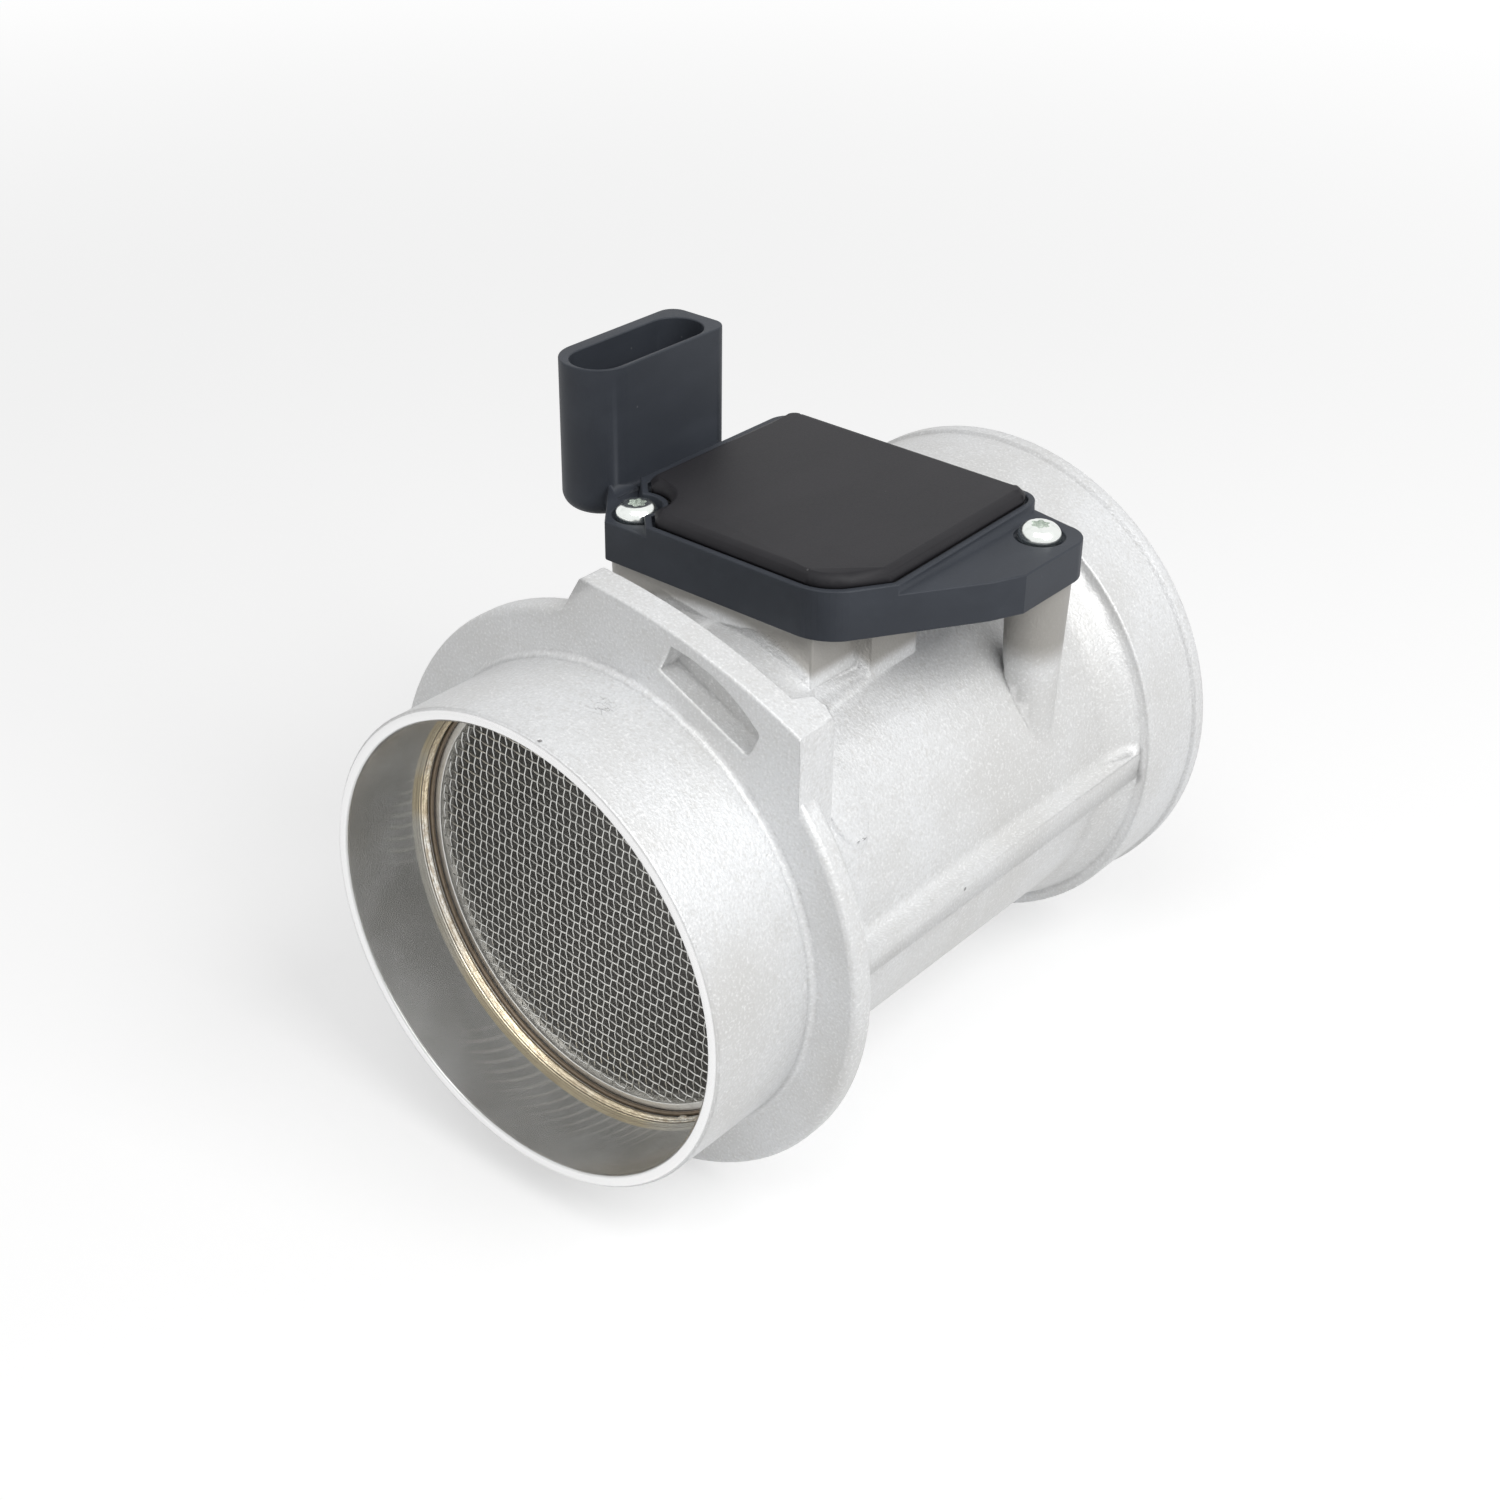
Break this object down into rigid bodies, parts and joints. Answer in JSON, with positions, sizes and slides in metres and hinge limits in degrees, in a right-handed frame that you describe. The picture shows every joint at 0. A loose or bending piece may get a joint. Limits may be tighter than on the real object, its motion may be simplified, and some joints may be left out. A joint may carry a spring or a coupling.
{
  "type": "mass airflow sensor",
  "caption": "Cast tube with a screened mouth and a flange, and a plastic electronics module with a connector socket screwed on top.",
  "frame": {"origin": "centre of the inlet neck's front face, on the tube's axis", "axes": "+Y along the tube with the air flow, +Z towards the electronics module, -X towards the connector socket"},
  "size_m": [0.102, 0.1336, 0.1242],
  "materials": {
    "cast_aluminium": "as cast, lightly blasted",
    "screen_steel": "bare stainless wire",
    "housing_plastic": "fine moulded satin",
    "cover_plastic": "fine moulded satin",
    "zinc_steel": "bright zinc",
    "seal_rubber": "matt",
    "adhesive": "matt",
    "tinned_copper": "tinned",
    "board_ceramic": "white ceramic with glaze",
    "spreader_aluminium": "rolled",
    "chip_plastic": "moulded epoxy",
    "capacitor_ceramic": "fired ceramic",
    "element_ceramic": "thin film on ceramic",
    "bead_glass": "glazed bead"
  },
  "bodies": {
    "root": {"body_casting": "cast_aluminium", "inlet_screen": "screen_steel", "screen_frame": "screen_steel", "screen_retaining_ring": "screen_steel", "module_housing": "housing_plastic", "module_cover": "cover_plastic", "cover_adhesive": "adhesive", "housing_screw_front": "zinc_steel", "housing_screw_rear": "zinc_steel", "compression_sleeve_front": "zinc_steel", "compression_sleeve_rear": "zinc_steel", "module_seal": "seal_rubber", "heat_spreader": "spreader_aluminium", "circuit_board": "board_ceramic", "control_chip": "chip_plastic", "driver_transistor": "chip_plastic", "resistor_network": "chip_plastic", "channel_cover": "housing_plastic", "hot_film_element": "element_ceramic", "cold_film_element": "element_ceramic", "air_thermistor": "bead_glass", "capacitor_1": "capacitor_ceramic", "capacitor_2": "capacitor_ceramic", "capacitor_3": "capacitor_ceramic", "terminal_1": "tinned_copper", "terminal_ribbon_1": "spreader_aluminium", "terminal_2": "tinned_copper", "terminal_ribbon_2": "spreader_aluminium", "terminal_3": "tinned_copper", "terminal_ribbon_3": "spreader_aluminium", "terminal_4": "tinned_copper", "terminal_ribbon_4": "spreader_aluminium", "terminal_5": "tinned_copper", "terminal_ribbon_5": "spreader_aluminium", "element_pin_1": "tinned_copper", "element_pin_2": "tinned_copper", "element_pin_3": "tinned_copper", "element_pin_4": "tinned_copper"}
  },
  "joints": []
}
